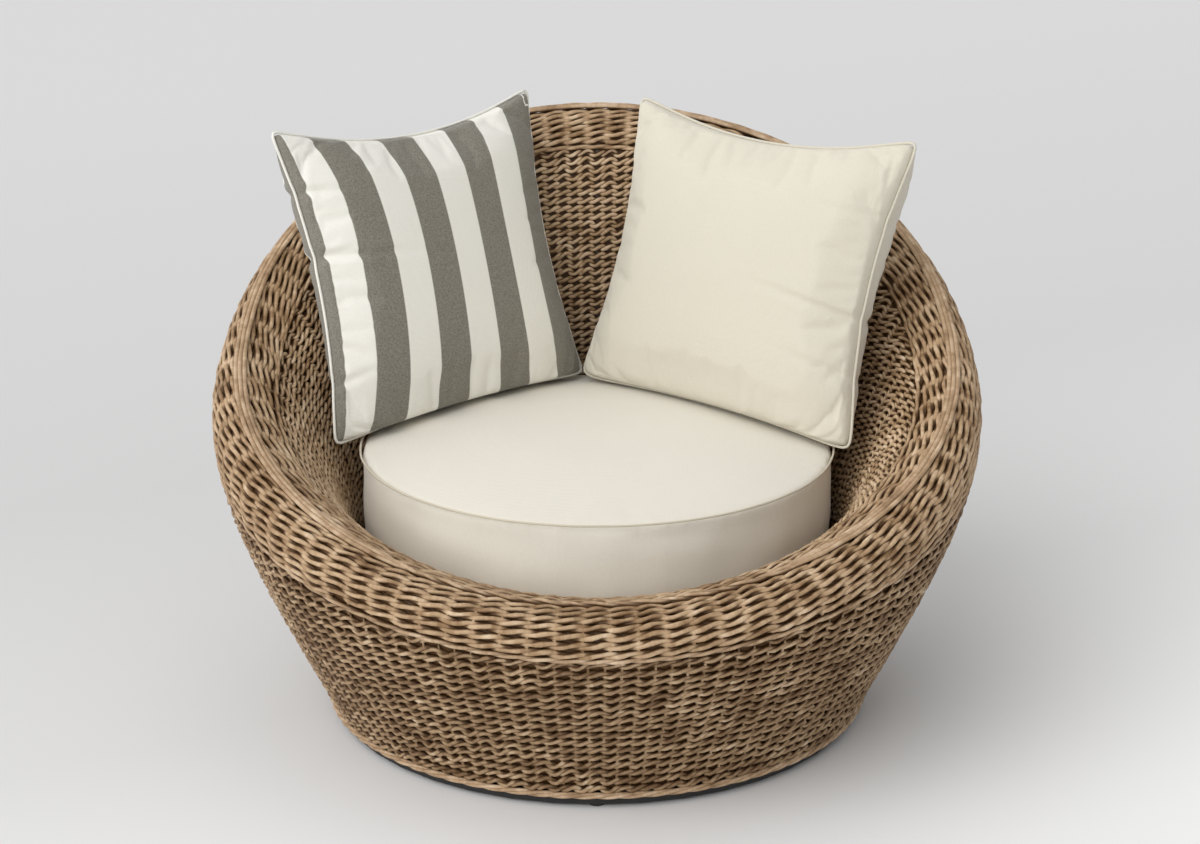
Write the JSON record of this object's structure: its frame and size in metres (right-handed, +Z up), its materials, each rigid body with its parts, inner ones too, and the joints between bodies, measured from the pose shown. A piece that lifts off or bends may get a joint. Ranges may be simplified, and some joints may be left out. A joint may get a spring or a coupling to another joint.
{
  "type": "swivel club chair",
  "caption": "Round woven lounge chair with a high back and a low rolled front, turning on a low ball-bearing base, with a loose round seat cushion and two loose throw pillows.",
  "frame": {"origin": "on the floor, on the turning axis, in the middle of the chair's footprint", "axes": "+Z up along the turning axis, -Y towards the front of the chair, +X to the right of a person who faces the chair"},
  "size_m": [0.967, 0.8746, 0.7347],
  "materials": {
    "black_steel": "semi-matt black powder coat",
    "zinc": "bright zinc plate",
    "ball_steel": "polished bearing steel",
    "black_plastic": "moulded black nylon",
    "brown_aluminium": "brown powder coat",
    "wicker": "woven variegated tan and brown resin strand",
    "wicker_light": "woven light tan resin strand",
    "cushion_cloth": "plain cream outdoor canvas",
    "foam": "open-cell foam block",
    "striped_cloth": "woven wide grey and off-white stripes",
    "cream_cloth": "plain cream linen weave"
  },
  "bodies": {
    "base": {"floor_ring": "black_steel", "glide_1": "black_plastic", "glide_2": "black_plastic", "glide_3": "black_plastic", "glide_4": "black_plastic", "base_cross": "black_steel", "lower_plate": "zinc", "base_bolt_1": "zinc", "base_bolt_2": "zinc", "base_bolt_3": "zinc", "base_bolt_4": "zinc", "centre_pin": "zinc", "pin_washer": "zinc", "pin_nut": "zinc"},
    "cage": {"ball_cage": "black_plastic", "ball_1": "ball_steel", "ball_2": "ball_steel", "ball_3": "ball_steel", "ball_4": "ball_steel", "ball_5": "ball_steel", "ball_6": "ball_steel"},
    "seat": {"upper_plate": "zinc", "seat_bolt_1": "zinc", "seat_bolt_2": "zinc", "seat_bolt_3": "zinc", "seat_bolt_4": "zinc", "seat_cross": "black_steel", "bottom_ring": "brown_aluminium", "seat_ring": "brown_aluminium", "rim_tube": "brown_aluminium", "rib_1": "brown_aluminium", "rib_2": "brown_aluminium", "rib_3": "brown_aluminium", "rib_4": "brown_aluminium", "rib_5": "brown_aluminium", "rib_6": "brown_aluminium", "rib_7": "brown_aluminium", "rib_8": "brown_aluminium", "seat_post_1": "brown_aluminium", "seat_post_2": "brown_aluminium", "seat_post_3": "brown_aluminium", "seat_post_4": "brown_aluminium", "seat_slat_1": "brown_aluminium", "seat_slat_2": "brown_aluminium", "seat_slat_3": "brown_aluminium", "seat_slat_4": "brown_aluminium", "seat_slat_5": "brown_aluminium", "lower_weave": "wicker", "rim_weave": "wicker", "inner_weave": "wicker", "edge_border": "wicker_light", "rim_border": "wicker_light"},
    "cushion": {"cushion_cover": "cushion_cloth", "cushion_foam": "foam", "cushion_zip": "black_plastic"},
    "pillow_left": {"pillow_left": "striped_cloth", "pillow_left_piping": "cream_cloth"},
    "pillow_right": {"pillow_right": "cream_cloth", "pillow_right_piping": "cream_cloth"}
  },
  "joints": [
    {"name": "seat_swivel", "type": "hinge", "parent": "base", "child": "seat", "pos_m": [0, 0, 0.018], "axis": [0, 0, 1], "continuous": true},
    {"name": "cage_turn", "type": "hinge", "parent": "base", "child": "cage", "pos_m": [0, 0, 0.018], "axis": [0, 0, 1], "continuous": true},
    {"name": "cushion_lift", "type": "slide", "parent": "seat", "child": "cushion", "axis": [0, 0, 1], "range_m": [0, 0.5]},
    {"name": "pillow_left_lift", "type": "slide", "parent": "cushion", "child": "pillow_left", "axis": [0, 0, 1], "range_m": [0, 0.4]},
    {"name": "pillow_right_lift", "type": "slide", "parent": "cushion", "child": "pillow_right", "axis": [0, 0, 1], "range_m": [0, 0.4]}
  ],
  "couplings": [
    {"joint": "cage_turn", "follows": "seat_swivel", "ratio": 0.5}
  ]
}
